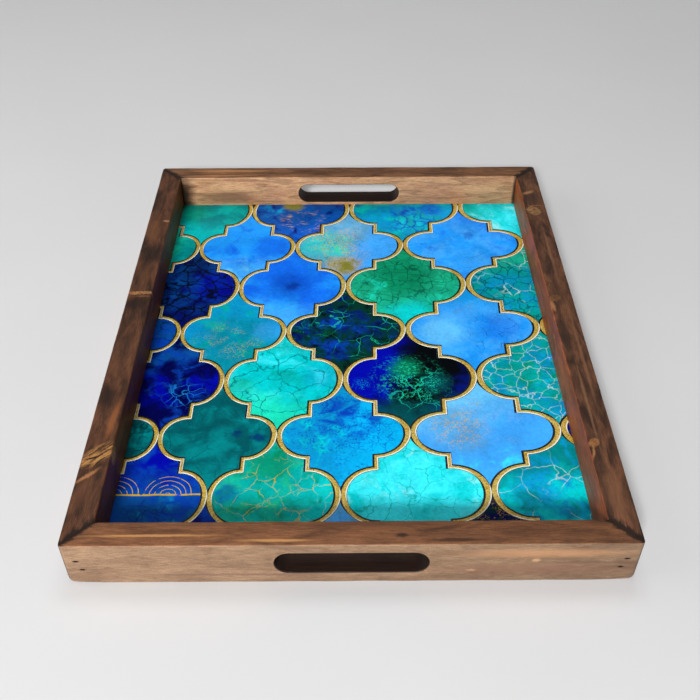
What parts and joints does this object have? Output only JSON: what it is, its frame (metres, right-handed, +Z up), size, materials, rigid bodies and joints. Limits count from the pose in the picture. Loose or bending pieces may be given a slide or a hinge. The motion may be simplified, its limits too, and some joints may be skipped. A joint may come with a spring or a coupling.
{
  "type": "wooden serving tray",
  "caption": "Rectangular wooden serving tray with mitred rails, a hand slot through each end rail, and a tiled decorative panel as its serving surface.",
  "frame": {"origin": "centre of the tray's footprint, at the height of the surface it stands on", "axes": "+Z up; X across the tray (short side), Y along it (long side), with the hand slots in the rails at -Y (front) and +Y (back)"},
  "size_m": [0.356, 0.457, 0.036],
  "materials": {
    "rail_wood": "stained pine, satin varnish",
    "panel_print": "printed panel under a satin-gloss coat, gilt lattice",
    "base_board": "bare hardboard, matt",
    "brad_steel": "bright brad wire, slightly tarnished"
  },
  "bodies": {
    "root": {"front_rail": "rail_wood", "back_rail": "rail_wood", "left_rail": "rail_wood", "right_rail": "rail_wood", "printed_panel": "panel_print", "base_board": "base_board", "corner_brad_front_left_upper": "brad_steel", "corner_brad_front_left_lower": "brad_steel", "corner_brad_front_right_upper": "brad_steel", "corner_brad_front_right_lower": "brad_steel", "corner_brad_back_left_upper": "brad_steel", "corner_brad_back_left_lower": "brad_steel", "corner_brad_back_right_upper": "brad_steel", "corner_brad_back_right_lower": "brad_steel", "board_brad_left_1": "brad_steel", "board_brad_left_2": "brad_steel", "board_brad_left_3": "brad_steel", "board_brad_right_1": "brad_steel", "board_brad_right_2": "brad_steel", "board_brad_right_3": "brad_steel", "board_brad_front_1": "brad_steel", "board_brad_front_2": "brad_steel", "board_brad_back_1": "brad_steel", "board_brad_back_2": "brad_steel"}
  },
  "joints": []
}
